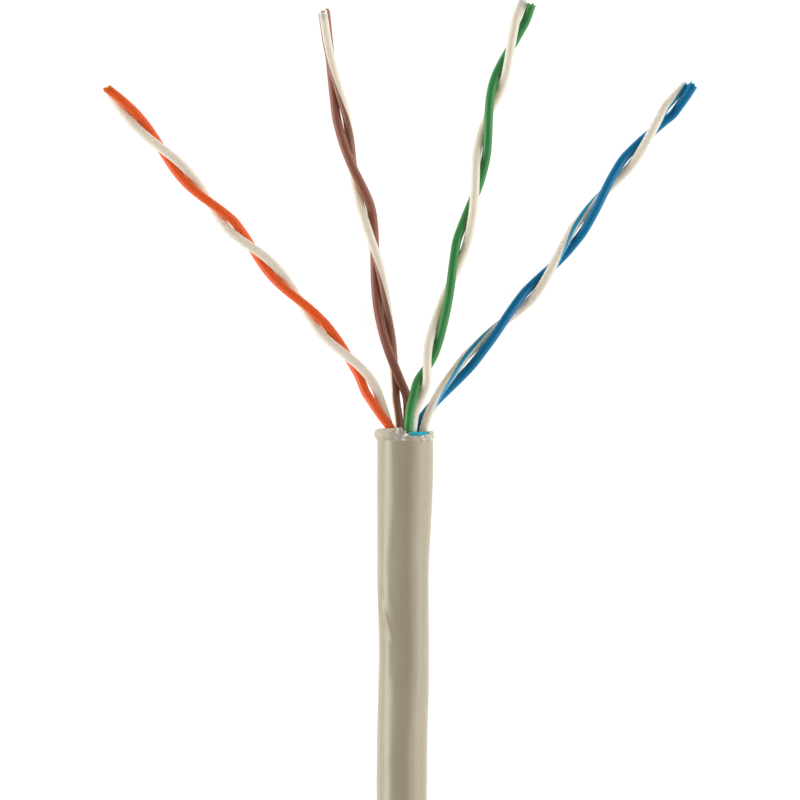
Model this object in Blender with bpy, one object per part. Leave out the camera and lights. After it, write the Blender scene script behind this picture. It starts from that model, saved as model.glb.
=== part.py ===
"""Stripped end of a four-pair, foil-screened network cable, with its spare length in a tied coil.

Frame: metres, +Z up, the cable lying on z = 0. The jacket runs along -Y from its cut mouth and the four
twisted pairs fan out along +Y. Places are worked out in millimetres from the middle of the mouth, and
moved at the end so that the origin is the middle of the object's footprint.
"""

import math

import bmesh
import bpy
import numpy as np
from mathutils import Vector

MM = 0.001

# Driving dimensions, in millimetres
JACKET_RADIUS = 2.85
JACKET_WALL = 0.38
LIP_FLARE = 0.28            # how much wider the torn lip stands than the jacket, on each side
LIP_TOP = 0.3               # the lip's furthest point past the mouth's plane
LIP_DIP = 0.95              # how far the lip is torn back, on the upper right
SLEEVE_LENGTH = 20.0        # the stretch whose inside is modelled; the rest of the cable is a plain rod
FOIL_THICKNESS = 0.05
FOIL_GAP = 0.04
INSULATION_RADIUS = 0.48
CORE_RADIUS = 0.255         # 24 AWG copper
CORE_GAP = 0.045
CORE_STICKS_OUT = 0.15
DRAIN_RADIUS = 0.2
RIPCORD_RADIUS = 0.15
STRAND_CIRCLE = 2.1         # from the cable's axis to the drain wire and the ripcord
QUAD_RADIUS = 1.37          # from the cable's axis to each pair's axis
CABLE_LAY = 110.0           # length in which the four pairs go once round each other
INSIDE_STEP = 4.0
INNER_HALF_TWIST = 8.0      # length of half a turn of a pair inside the jacket
LYING_HEIGHT = 1.0          # height of a pair's axis where the pair lies on the surface
TIP_HALF_WIDTH = 0.35       # from a pair's last point to the outside of its tip
HINGE_Y = 0.6               # each pair bends here, just outside the mouth
BEND_GAP = 0.5
GAP_SPREAD = 0.12           # length of a gap between two wires, in half twists
AXIS_LEAN = 0.0085          # sideways lean of the cable for each millimetre back from the mouth

LEAD_RADIUS = 2.75
LEAD_GAP = 0.3
COIL_MIDDLE_RADIUS = 29.0
COIL_PITCH = 5.6            # from turn to turn
COIL_BOTTOM_TURNS = 4
COIL_ROWS = 3
COIL_LIFT = 0.7             # the straps hold the lowest turns this far up
COIL_BACK = 84.0            # from the mouth back to the coil's middle
COIL_ASIDE = 26.5           # from the cable's line sideways to the coil's middle
COIL_ENTRY_DEGREES = 160.0  # where on its outer turn the cable runs into the coil
LEAD_BEND_START = -39.0
LEAD_STEP = 6.0
COIL_CHAMFER = 1.3
COIL_SEGMENTS = 48
STRAP_WIDTH = 5.0
STRAP_THICKNESS = 1.0
PASSAGE_SPARE = 2.0         # how far a strap's passage is cut past the coil's section
PASSAGE_DROP = 1.0          # how far below the coil its cutter starts
STRAP_ANGLES = {"coil_strap_a": 45.0, "coil_strap_b": 225.0}

RING_SIDES = 24
WIRE_SIDES = 6
STATIONS_PER_TURN = 8
COURSE_SAMPLES = 1200
BEND_SAMPLES = 60
SHARP_ANGLE = math.radians(40.0)

# Each pair's route outside the jacket: x, y and the count of half twists so far. A whole even count has
# the coloured wire on top, a whole odd count has its white mate on top. None leaves the count to the curve.
# Gaps are the counts at which the two wires stand apart, and by how much each leaves the pair's axis.
PAIRS = {
    "orange": {
        "seat": 160.0,
        "descent": 22.0,
        "route": [
            (-1.56, 0.3, -0.06), (-2.4, 2.0, None), (-3.3, 3.8, None), (-4.55, 6.1, None), (-6.0, 7.9, 1.0),
            (-8.3, 10.5, None), (-11.1, 13.8, 2.0), (-16.1, 19.4, 3.0), (-18.2, 21.6, None),
            (-20.6, 24.2, 4.0), (-25.7, 29.9, 5.0), (-31.3, 36.1, 6.0),
        ],
        "gaps": [(0.5, 0.09), (1.5, 0.02), (3.5, 0.04)],
        "limits": (-8.0, 25.0),
    },
    "brown": {
        "seat": 250.0,
        "descent": 14.0,
        "route": [
            (-0.2, 0.3, -0.7), (-0.24, 2.0, -0.57), (-0.42, 3.7, -0.44), (-0.82, 5.5, -0.18),
            (-1.2, 7.1, 0.0), (-2.3, 12.6, None), (-3.2, 19.1, 1.0), (-4.0, 23.1, None),
            (-5.5, 27.8, 2.0), (-6.85, 34.0, None), (-7.9, 39.5, 3.0), (-8.5, 44.0, 3.1),
        ],
        "gaps": [(-0.47, 0.12), (1.5, 0.03), (2.55, 0.05)],
        "limits": (-6.0, 6.0),
    },
    "green": {
        "seat": 70.0,
        "descent": 30.0,
        "route": [
            (0.55, 0.3, 0.15), (0.76, 2.1, 0.19), (1.46, 4.2, 0.38), (2.28, 6.8, 1.0), (3.3, 10.5, None),
            (4.8, 15.7, 2.0), (6.0, 20.0, None), (7.3, 24.8, 3.0), (8.8, 33.4, 4.0), (11.1, 40.4, 5.0),
            (12.8, 45.0, 5.55),
        ],
        "gaps": [(2.45, 0.07), (3.5, 0.03), (5.35, 0.08)],
        "limits": (-6.0, 6.0),
    },
    "blue": {
        "seat": 340.0,
        "descent": 18.0,
        "route": [
            (1.6, 0.3, 0.72), (2.1, 1.5, 0.84), (2.9, 2.85, 1.0), (5.7, 6.3, None), (7.5, 8.4, None),
            (10.3, 11.5, 2.0), (13.3, 14.7, None), (15.5, 17.4, 3.0), (18.8, 22.1, None),
            (20.9, 25.1, 4.0), (25.9, 31.5, 5.0), (30.0, 36.5, 5.8),
        ],
        "gaps": [(1.5, 0.07), (2.5, 0.03), (3.5, 0.06), (4.5, 0.05), (5.35, 0.13)],
        "limits": (-25.0, 8.0),
    },
}

COLOURS = {
    "jacket": ((0.42, 0.39, 0.31), 0.45, 0.0),
    "orange": ((0.83, 0.10, 0.02), 0.4, 0.0),
    "green": ((0.05, 0.26, 0.07), 0.4, 0.0),
    "blue": ((0.0, 0.16, 0.39), 0.4, 0.0),
    "brown": ((0.22, 0.08, 0.05), 0.4, 0.0),
    "white": ((0.73, 0.67, 0.55), 0.45, 0.0),
    "copper": ((0.85, 0.42, 0.24), 0.3, 1.0),
    "tinned": ((0.75, 0.75, 0.74), 0.35, 1.0),
    "foil": ((0.01, 0.43, 0.68), 0.3, 0.6),
    "nylon": ((0.8, 0.8, 0.78), 0.6, 0.0),
    "strap": ((0.03, 0.03, 0.035), 0.7, 0.0),
}


def lead_x(y):
    """Where the cable's axis is, sideways, at y."""
    return AXIS_LEAN * y


COIL_OUTER_TURN = COIL_MIDDLE_RADIUS + COIL_PITCH * (COIL_BOTTOM_TURNS - 1) / 2
COIL_CENTRE = Vector((COIL_ASIDE, -COIL_BACK, 0.0))
COIL_OUTSIDE = COIL_OUTER_TURN + COIL_PITCH / 2

# The footprint's middle, between the orange pair's tip and the coil, and the green pair's tip and the coil
LEFT_EDGE = PAIRS["orange"]["route"][-1][0] - TIP_HALF_WIDTH
RIGHT_EDGE = COIL_CENTRE.x + COIL_OUTSIDE
FRONT_EDGE = PAIRS["green"]["route"][-1][1] + TIP_HALF_WIDTH
BACK_EDGE = COIL_CENTRE.y - COIL_OUTSIDE
FOOTPRINT_MIDDLE = Vector(((LEFT_EDGE + RIGHT_EDGE) / 2, (FRONT_EDGE + BACK_EDGE) / 2, 0.0))


def clear_scene():
    for old in list(bpy.data.objects):
        bpy.data.objects.remove(old, do_unlink=True)


def material(name):
    """A Principled material in one of the part's colours, made for one node."""
    colour, roughness, metallic = COLOURS[name]
    made = bpy.data.materials.new(name)
    made.use_nodes = True
    shader = made.node_tree.nodes["Principled BSDF"]
    shader.inputs["Base Color"].default_value = (*colour, 1.0)
    shader.inputs["Roughness"].default_value = roughness
    shader.inputs["Metallic"].default_value = metallic
    made.diffuse_color = (*colour, 1.0)
    return made


def to_world(point):
    """Millimetres from the mouth's middle to metres from the footprint's middle."""
    return (Vector(point) - FOOTPRINT_MIDDLE) * MM


def add_node(name, colour, points, faces, parent=None):
    """One named solid. Points are in millimetres from the mouth's middle."""
    start = parent.matrix_world.translation if parent else Vector()
    mesh = bpy.data.meshes.new(name)
    mesh.from_pydata([to_world(p) - start for p in points], [], faces)
    mesh.update()
    mesh.shade_smooth()
    mesh.set_sharp_from_angle(angle=SHARP_ANGLE)
    mesh.materials.append(material(colour))
    node = bpy.data.objects.new(name, mesh)
    bpy.context.scene.collection.objects.link(node)
    if parent:
        node.parent = parent
    return node


def smooth_through(knots, values, places):
    """Cubic pieces through values at the knots, with no kink between them."""
    knots = np.asarray(knots, float)
    values = np.asarray(values, float)
    slopes = np.gradient(values, knots, axis=0)
    left = np.clip(np.searchsorted(knots, places, side="right") - 1, 0, len(knots) - 2)
    span = knots[left + 1] - knots[left]
    t = (np.asarray(places) - knots[left]) / span
    if values.ndim > 1:
        t, span = t[:, None], span[:, None]
    rest = (2 * t**3 - 3 * t**2 + 1) * values[left] + (t**3 - 2 * t**2 + t) * span * slopes[left]
    return rest + (3 * t**2 - 2 * t**3) * values[left + 1] + (t**3 - t**2) * span * slopes[left + 1]


def quad_point(seat, radius, y):
    """A place inside the jacket, on the long left-handed lay of the four pairs."""
    angle = math.radians(seat) - 2 * math.pi * y / CABLE_LAY
    return (lead_x(y) + radius * math.cos(angle), y, JACKET_RADIUS + radius * math.sin(angle))


def pair_course(pair):
    """Dense axis points of a pair, its twist angle at each, and the distance to each along the axis."""
    route = pair["route"]
    rows = np.arange(-SLEEVE_LENGTH + LEAD_GAP, 0.0, INSIDE_STEP)
    inside = [quad_point(pair["seat"], QUAD_RADIUS, y) for y in rows]
    plan = inside + [(x, y, 0.0) for x, y, _ in route]
    steps = [math.dist(a[:2], b[:2]) for a, b in zip(plan, plan[1:])]
    along = np.concatenate([[0.0], np.cumsum(steps)])
    mouth = along[len(inside)]
    seat_height = quad_point(pair["seat"], QUAD_RADIUS, 0.0)[2]
    for n in range(len(inside), len(plan)):
        down = min((along[n] - mouth) / pair["descent"], 1.0)
        height = seat_height + (LYING_HEIGHT - seat_height) * down**2 * (3 - 2 * down)
        plan[n] = (plan[n][0], plan[n][1], height)
    counted = [(along[len(inside) + n], row[2]) for n, row in enumerate(route) if row[2] is not None]
    first_place, first_count = counted[0]
    before = [(s, first_count + (s - first_place) / INNER_HALF_TWIST) for s in along[: len(inside)]]
    places = np.linspace(0.0, along[-1], COURSE_SAMPLES)
    axis = smooth_through(along, plan, places)
    knots, counts = zip(*(before + counted))
    twist = math.pi / 2 + math.pi * smooth_through(knots, counts, places)
    return axis, twist, places


def cut_course(course, start, end):
    """Axis points, tangents and twist angles at even steps of twist between two distances along a pair."""
    axis, twist, places = course
    first, last = np.interp([start, end], places, twist)
    count = max(2, round(abs(last - first) / (2 * math.pi) * STATIONS_PER_TURN) + 1)
    distance = np.interp(np.linspace(first, last, count), twist, places)
    distance[0], distance[-1] = start, end
    points = np.stack([np.interp(distance, places, axis[:, k]) for k in range(3)], axis=1)
    slope = np.gradient(axis, places, axis=0)
    tangents = np.stack([np.interp(distance, places, slope[:, k]) for k in range(3)], axis=1)
    return points, tangents, np.interp(distance, places, twist)


def standing_apart(gaps, angle):
    """How far each wire stands off the pair's axis, past touching, at a twist angle."""
    count = angle / math.pi - 0.5
    return sum(wide * math.exp(-(((count - at) / GAP_SPREAD) ** 2)) for at, wide in gaps)


def wire_rings(stations, gaps, side_radius, mate):
    """Rings of one conductor of a pair. Each ring keeps a flat side towards the other conductor."""
    rings = []
    for point, tangent, angle in zip(*stations):
        off_axis = INSULATION_RADIUS + standing_apart(gaps, angle)
        forward = Vector(tangent).normalized()
        right = Vector((forward.y, -forward.x, 0.0)).normalized()
        up = right.cross(forward)
        angle += math.pi * mate
        outward = right * math.cos(angle) + up * math.sin(angle)
        across = up * math.cos(angle) - right * math.sin(angle)
        centre = Vector(point) + outward * off_axis
        rings.append([])
        for corner in range(WIRE_SIDES):
            turn = 2 * math.pi * (corner + 0.5) / WIRE_SIDES
            rings[-1].append(centre + (outward * math.cos(turn) + across * math.sin(turn)) * side_radius)
    return rings


def skin(rings, closed_ends=True, flip=False):
    """Points and triangles of a tube over rings of equal size. The diagonals all lean the same way."""
    sides = len(rings[0])
    faces = []
    for n in range(len(rings) - 1):
        for k in range(sides):
            a, b = n * sides + k, n * sides + (k + 1) % sides
            c, d = a + sides, b + sides
            faces += [(a, b, d), (a, d, c)]
    if closed_ends:
        last = (len(rings) - 1) * sides
        faces += [tuple(reversed(range(sides))), tuple(range(last, last + sides))]
    if flip:
        faces = [tuple(reversed(face)) for face in faces]
    return [p for ring in rings for p in ring], faces


def pipe(outer, inner):
    """A tube with a wall, from outer and inner rings of equal number."""
    points, faces = skin(outer, closed_ends=False)
    inner_points, inner_faces = skin(inner, closed_ends=False, flip=True)
    shift = len(points)
    sides = len(outer[0])
    faces += [tuple(v + shift for v in face) for face in inner_faces]
    last = (len(outer) - 1) * sides
    for k in range(sides):
        m = (k + 1) % sides
        faces.append((k, k + shift, m + shift, m))
        faces.append((last + k, last + m, last + m + shift, last + k + shift))
    return points + inner_points, faces


def outward_faces(node):
    """Turns every face of a closed solid outwards."""
    shape = bmesh.new()
    shape.from_mesh(node.data)
    bmesh.ops.recalc_face_normals(shape, faces=shape.faces)
    shape.to_mesh(node.data)
    shape.free()
    node.data.shade_smooth()
    node.data.set_sharp_from_angle(angle=SHARP_ANGLE)


def add_conductor(name, colour, course, gaps, start, end, mate, core_past_end, parent=None):
    """An insulated conductor: a tube of insulation, and its copper core inside."""
    stations = cut_course(course, start, end)
    hole = wire_rings(stations, gaps, CORE_RADIUS + CORE_GAP, mate)
    skin_rings = wire_rings(stations, gaps, INSULATION_RADIUS, mate)
    cover = add_node(f"{name}_insulation", colour, *pipe(skin_rings, hole), parent)
    copper = wire_rings(stations, gaps, CORE_RADIUS, mate)
    tip = Vector(stations[1][-1]).normalized() * core_past_end
    copper[-1] = [p + tip for p in copper[-1]]
    core = add_node(f"{name}_core", "copper", *skin(copper), parent)
    outward_faces(cover)
    outward_faces(core)


def add_pair(colour):
    """Both conductors of a pair: the stretch inside the jacket, and the tail that bends at the mouth."""
    course = pair_course(PAIRS[colour])
    gaps = PAIRS[colour]["gaps"]
    axis, _, places = course
    bend = float(np.interp(HINGE_Y, axis[:, 1], places))
    pivot = bpy.data.objects.new(f"{colour}_bend", None)
    pivot.location = to_world((float(np.interp(bend, places, axis[:, 0])), HINGE_Y, 0.0))
    pivot.empty_display_size = 2 * MM
    bpy.context.scene.collection.objects.link(pivot)
    bpy.context.view_layer.update()
    for mate, coat in ((0, colour), (1, "white")):
        name = f"{colour}_wire" if mate == 0 else f"white_{colour}_wire"
        near, far = bend - BEND_GAP / 2, bend + BEND_GAP / 2
        add_conductor(f"{name}_inside", coat, course, gaps, 0.0, near, mate, 0.0)
        add_conductor(f"{name}_tail", coat, course, gaps, far, places[-1], mate, CORE_STICKS_OUT, pivot)


def ring_at(y, half_width, half_height, lip=None):
    """A ring of points round the cable's axis. A lip moves each point along the cable by its angle."""
    ring = []
    for k in range(RING_SIDES):
        angle = 2 * math.pi * k / RING_SIDES
        along = y + (lip(angle) if lip else 0.0)
        across = lead_x(y) + half_width * math.cos(angle)
        ring.append(Vector((across, along, JACKET_RADIUS + half_height * math.sin(angle))))
    return ring


def torn_lip(angle):
    """How far the lip reaches at an angle: whole on the left and below, torn back on the upper right."""
    tear = max(0.0, math.cos(angle - math.radians(55.0)))
    return LIP_TOP - LIP_DIP * tear**2


def add_jacket():
    """The end of the jacket: a tube whose torn lip flares out."""
    inner_radius = JACKET_RADIUS - JACKET_WALL
    outer, inner = [], []
    stations = ((-SLEEVE_LENGTH, 0.0, None), (-6.0, 0.0, None), (-2.0, 0.1, None), (0.0, 1.0, torn_lip))
    for y, flare, lip in stations:
        wide = flare * LIP_FLARE
        outer.append(ring_at(y, JACKET_RADIUS + wide, JACKET_RADIUS, lip))
        inner.append(ring_at(y, inner_radius + wide, inner_radius, lip))
    outward_faces(add_node("jacket", "jacket", *pipe(outer, inner)))


def add_foil():
    """The screen: a wrap of metallised film just inside the jacket."""
    outer_radius = JACKET_RADIUS - JACKET_WALL - FOIL_GAP
    inner_radius = outer_radius - FOIL_THICKNESS
    ends = (-SLEEVE_LENGTH + LEAD_GAP, -0.1)
    outer = [ring_at(y, outer_radius, outer_radius) for y in ends]
    inner = [ring_at(y, inner_radius, inner_radius) for y in ends]
    outward_faces(add_node("foil_screen", "foil", *pipe(outer, inner)))


def add_strand(name, colour, seat, thickness, end):
    """A thin strand that follows the lay of the pairs, between two of them and the foil."""
    rings = []
    for y in np.linspace(-SLEEVE_LENGTH + LEAD_GAP, end, 8):
        centre = Vector(quad_point(seat, STRAND_CIRCLE, y))
        angles = (2 * math.pi * k / WIRE_SIDES for k in range(WIRE_SIDES))
        rings.append([centre + Vector((math.cos(a), 0.0, math.sin(a))) * thickness for a in angles])
    outward_faces(add_node(name, colour, *skin(rings)))


def lead_route():
    """Axis of the plain cable: straight back, then a soft bend that meets the coil's outer turn along it."""
    entry = math.radians(COIL_ENTRY_DEGREES)
    begin = Vector((lead_x(LEAD_BEND_START), LEAD_BEND_START, JACKET_RADIUS))
    meet = COIL_CENTRE + Vector((math.cos(entry), math.sin(entry), 0.0)) * COIL_OUTER_TURN
    meet.z = JACKET_RADIUS
    reach = (meet - begin).length
    leave = Vector((0.0, -1.0, 0.0)) * reach
    arrive = Vector((-math.sin(entry), math.cos(entry), 0.0)) * reach
    first = -SLEEVE_LENGTH - LEAD_GAP
    straight = np.linspace(first, LEAD_BEND_START, round((first - LEAD_BEND_START) / LEAD_STEP) + 1)
    route = [Vector((lead_x(y), y, JACKET_RADIUS)) for y in straight[:-1]]
    latest = begin
    for t in np.linspace(0.0, 1.0, BEND_SAMPLES):
        point = begin * (2 * t**3 - 3 * t**2 + 1) + leave * (t**3 - 2 * t**2 + t)
        point += meet * (3 * t**2 - 2 * t**3) + arrive * (t**3 - t**2)
        clear = (point - COIL_CENTRE).to_2d().length - LEAD_RADIUS - COIL_OUTSIDE
        if clear < LEAD_GAP:
            route.append(latest)
            break
        latest = point
        if (point - route[-1]).length >= LEAD_STEP:
            route.append(point)
    return route


def add_lead():
    """The plain cable between the modelled end and the coil."""
    curve = bpy.data.curves.new("cable_lead", "CURVE")
    curve.dimensions = "3D"
    curve.bevel_depth = LEAD_RADIUS * MM
    curve.bevel_resolution = 3
    curve.use_fill_caps = True
    curve.materials.append(material("jacket"))
    route = lead_route()
    spline = curve.splines.new("POLY")
    spline.points.add(len(route) - 1)
    for point, place in zip(spline.points, route):
        point.co = (*to_world(place), 1.0)
    bpy.context.scene.collection.objects.link(bpy.data.objects.new("cable_lead", curve))


def coil_outline(extra=0.0):
    """Outline of the stacked turns, as radius and height, grown by an extra all round but below."""
    half_bottom = COIL_PITCH * COIL_BOTTOM_TURNS / 2
    half_top = COIL_PITCH * (COIL_BOTTOM_TURNS - COIL_ROWS + 1) / 2
    row_rise = COIL_PITCH * math.sqrt(3) / 2
    shoulder = COIL_LIFT + COIL_PITCH * 0.75
    top = COIL_LIFT + COIL_PITCH + row_rise * (COIL_ROWS - 1)
    half = [
        (half_bottom - COIL_CHAMFER, 0.0),
        (half_bottom + extra, COIL_CHAMFER),
        (half_bottom + extra, shoulder + extra / 2),
        (half_top + extra, top - COIL_CHAMFER + extra / 2),
        (half_top - COIL_CHAMFER + extra / 2, top + extra),
    ]
    right = [(COIL_MIDDLE_RADIUS + across, height) for across, height in half]
    left = [(COIL_MIDDLE_RADIUS - across, height) for across, height in reversed(half)]
    return right + left


def add_coil():
    """The spare cable, wound into a round coil: one turned ring, cut back below where the straps pass."""
    shape = bmesh.new()
    corners = [shape.verts.new((radius, 0.0, height)) for radius, height in coil_outline()]
    edges = [shape.edges.new((a, b)) for a, b in zip(corners, corners[1:] + corners[:1])]
    bmesh.ops.spin(
        shape, geom=corners + edges, cent=(0.0, 0.0, 0.0), axis=(0.0, 0.0, 1.0), dvec=(0.0, 0.0, 0.0),
        angle=2 * math.pi, steps=COIL_SEGMENTS, use_merge=True, use_duplicate=False,
    )
    bmesh.ops.remove_doubles(shape, verts=shape.verts, dist=0.001)
    bmesh.ops.triangulate(shape, faces=shape.faces)
    bmesh.ops.recalc_face_normals(shape, faces=shape.faces)
    shape.verts.ensure_lookup_table()
    points = [v.co + COIL_CENTRE for v in shape.verts]
    faces = [tuple(v.index for v in f.verts) for f in shape.faces]
    shape.free()
    coil = add_node("cable_coil", "jacket", points, faces)
    for name, degrees in STRAP_ANGLES.items():
        notch = strap_box(f"{name}_notch", degrees)
        cut = coil.modifiers.new(notch.name, "BOOLEAN")
        cut.operation = "DIFFERENCE"
        cut.object = notch


def coil_frame(degrees):
    """Outward and sideways directions at an angle of the coil."""
    angle = math.radians(degrees)
    return Vector((math.cos(angle), math.sin(angle), 0.0)), Vector((-math.sin(angle), math.cos(angle), 0.0))


def strap_box(name, degrees):
    """The cutter that clears a strap's passage under the coil."""
    outward, sideways = coil_frame(degrees)
    half_width = STRAP_WIDTH / 2 + LEAD_GAP
    depth = STRAP_THICKNESS + LEAD_GAP
    reach = COIL_PITCH * COIL_BOTTOM_TURNS / 2 + PASSAGE_SPARE
    points = []
    for height in (-PASSAGE_DROP, depth):
        for across, aside in ((-1, -1), (1, -1), (1, 1), (-1, 1)):
            flat = outward * (COIL_MIDDLE_RADIUS + across * reach) + sideways * (aside * half_width)
            points.append(COIL_CENTRE + flat + Vector((0.0, 0.0, height)))
    sides = [(n, (n + 1) % 4, (n + 1) % 4 + 4, n + 4) for n in range(4)]
    cutter = add_node(name, "strap", points, [(3, 2, 1, 0), (4, 5, 6, 7)] + sides)
    cutter.hide_render = True
    cutter.display_type = "WIRE"
    return cutter


def add_strap(name, degrees):
    """A hook-and-loop strap closed round the coil's section."""
    outward, sideways = coil_frame(degrees)
    gap = LEAD_GAP
    inner = coil_outline(gap)
    outer = coil_outline(gap + STRAP_THICKNESS)
    for n in (0, -1):
        side = 1 if n == 0 else -1
        edge = COIL_PITCH * COIL_BOTTOM_TURNS / 2 + gap
        inner[n] = (COIL_MIDDLE_RADIUS + side * edge, STRAP_THICKNESS)
        outer[n] = (COIL_MIDDLE_RADIUS + side * (edge + STRAP_THICKNESS - COIL_CHAMFER), 0.0)
    for n in (1, -2):
        inner[n] = (inner[n][0], COIL_CHAMFER + STRAP_THICKNESS)
    rings = []
    for aside in (-STRAP_WIDTH / 2, STRAP_WIDTH / 2):
        for outline in (outer, inner):
            ring = [COIL_CENTRE + outward * r + sideways * aside + Vector((0.0, 0.0, z)) for r, z in outline]
            rings.append(ring)
    outward_faces(add_node(name, "strap", *pipe([rings[0], rings[2]], [rings[1], rings[3]])))


def main():
    clear_scene()
    add_jacket()
    add_foil()
    add_strand("drain_wire", "tinned", 115.0, DRAIN_RADIUS, 0.2)
    add_strand("ripcord", "nylon", 295.0, RIPCORD_RADIUS, -0.3)
    for colour in PAIRS:
        add_pair(colour)
    add_lead()
    add_coil()
    for name, degrees in STRAP_ANGLES.items():
        add_strap(name, degrees)


main()
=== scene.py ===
"""Looks of the stripped end of a four-pair, foil-screened network cable.

Shapes are worked out in millimetres from the middle of the jacket's mouth, as the CAD model has them, and
moved to the frame's own place by to_frame().
"""

import math
import random

import bpy
import numpy as np
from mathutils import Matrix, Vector, geometry, noise


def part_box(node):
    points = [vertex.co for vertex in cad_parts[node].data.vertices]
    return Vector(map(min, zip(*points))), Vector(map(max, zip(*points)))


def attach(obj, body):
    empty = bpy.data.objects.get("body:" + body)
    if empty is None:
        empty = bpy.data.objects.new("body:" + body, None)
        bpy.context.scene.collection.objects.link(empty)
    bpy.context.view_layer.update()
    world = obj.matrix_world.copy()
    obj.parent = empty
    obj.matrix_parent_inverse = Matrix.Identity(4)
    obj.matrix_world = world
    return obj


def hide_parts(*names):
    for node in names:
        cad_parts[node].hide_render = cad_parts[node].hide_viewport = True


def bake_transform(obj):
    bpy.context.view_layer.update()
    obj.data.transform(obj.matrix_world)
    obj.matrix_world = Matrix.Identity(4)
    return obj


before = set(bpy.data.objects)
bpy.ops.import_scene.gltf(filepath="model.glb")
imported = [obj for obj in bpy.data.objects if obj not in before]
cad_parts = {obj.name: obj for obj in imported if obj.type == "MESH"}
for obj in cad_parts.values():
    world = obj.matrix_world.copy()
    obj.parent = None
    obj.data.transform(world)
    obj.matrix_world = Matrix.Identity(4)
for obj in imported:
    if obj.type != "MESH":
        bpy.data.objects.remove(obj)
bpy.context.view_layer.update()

MM = 0.001

# The sheath, in millimetres from the middle of its mouth. The cable runs back from there towards -y.
JACKET_INSIDE = 2.47        # radius of the bore at the mouth
BORE_TIGHTENS = 0.17        # how much narrower the bore is further back
BORE_TIGHT_FROM = -3.0
BORE_TIGHT_OVER = 5.0
MOUTH_AXIS_HEIGHT = 2.85
SLEEVE_DEPTH = 19.7         # how far back the cable has its insides
LIP_TOP = 0.3               # how far the CAD model's lip stands past the mouth's plane
AXIS_LEAN = 0.0085          # sideways for each millimetre along
VISIBLE_STEP = 0.35         # from ring to ring along the stretch in view
JACKET_SIDES = 120
RESTING = 0.015             # lowest that the sheath and the straps' webbing come

# The pairs
CABLE_LAY = 110.0           # length in which the four pairs go once round each other
QUAD_RADIUS = 1.37          # from the cable's axis to a pair's
INNER_HALF_TWIST = 8.0      # length of half a twist inside the sheath
LYING_HEIGHT = 1.0          # of a pair's axis where it lies on the floor
HINGE_Y = 0.6               # place along; the first station of each wire past it is picked
BLEND_REACH = 0.55          # half the span either side of that station that is worked out and not used
TOUCHING_GAP = 0.006        # from each wire to the pair's axis where the two lie together
GAP_SPREAD = 0.12           # how far a gap between two wires spreads, in half twists
INSULATION_RADIUS = 0.48
CORE_RADIUS = 0.255
WIRE_STEP = 0.28            # from ring to ring along a wire
WIRE_SIDES = 28
CORE_SIDES = 16

# The coil and its straps
COIL_CABLE_RADIUS = 2.68
COIL_MIDDLE_RADIUS = 29.0
COIL_PITCH = 5.6            # from turn to turn
COIL_LIFT = 0.8             # of the lowest turns, which lie on the straps
COIL_BACK = 84.0
COIL_ASIDE = 26.5
COIL_CENTRE = Vector((COIL_ASIDE, -COIL_BACK, 0.0))
COIL_ENTRY_DEGREES = 160.0  # where on its outer turn the cable runs into the coil
COIL_STEP_DEGREES = 4.5
LEAD_BEND_START = -39.0
LEAD_BEND_STEPS = 25
JOG_DEGREES = 80.0          # the end of each turn, in which the cable crosses to the next
JOG_LIFT = 0.45             # how far it rises over its neighbours there
STRAP_WIDTH = 5.0
STRAP_THICKNESS = 0.75
STRAP_POINTS = 110          # round a strap
STRAP_LAP = (0.62, 0.86)    # shares of the way round where the lapped end starts and stops
STRAP_LAP_FACTOR = 1.9      # outside of the lap, in thicknesses
STRAP_EDGE = 0.18           # how far its long edges are rounded, as a share of the thickness
STRAP_EDGE_SIDE = 0.12      # and how far across it
STRAP_ANGLES = {"coil_strap_a": 45.0, "coil_strap_b": 225.0}

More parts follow.
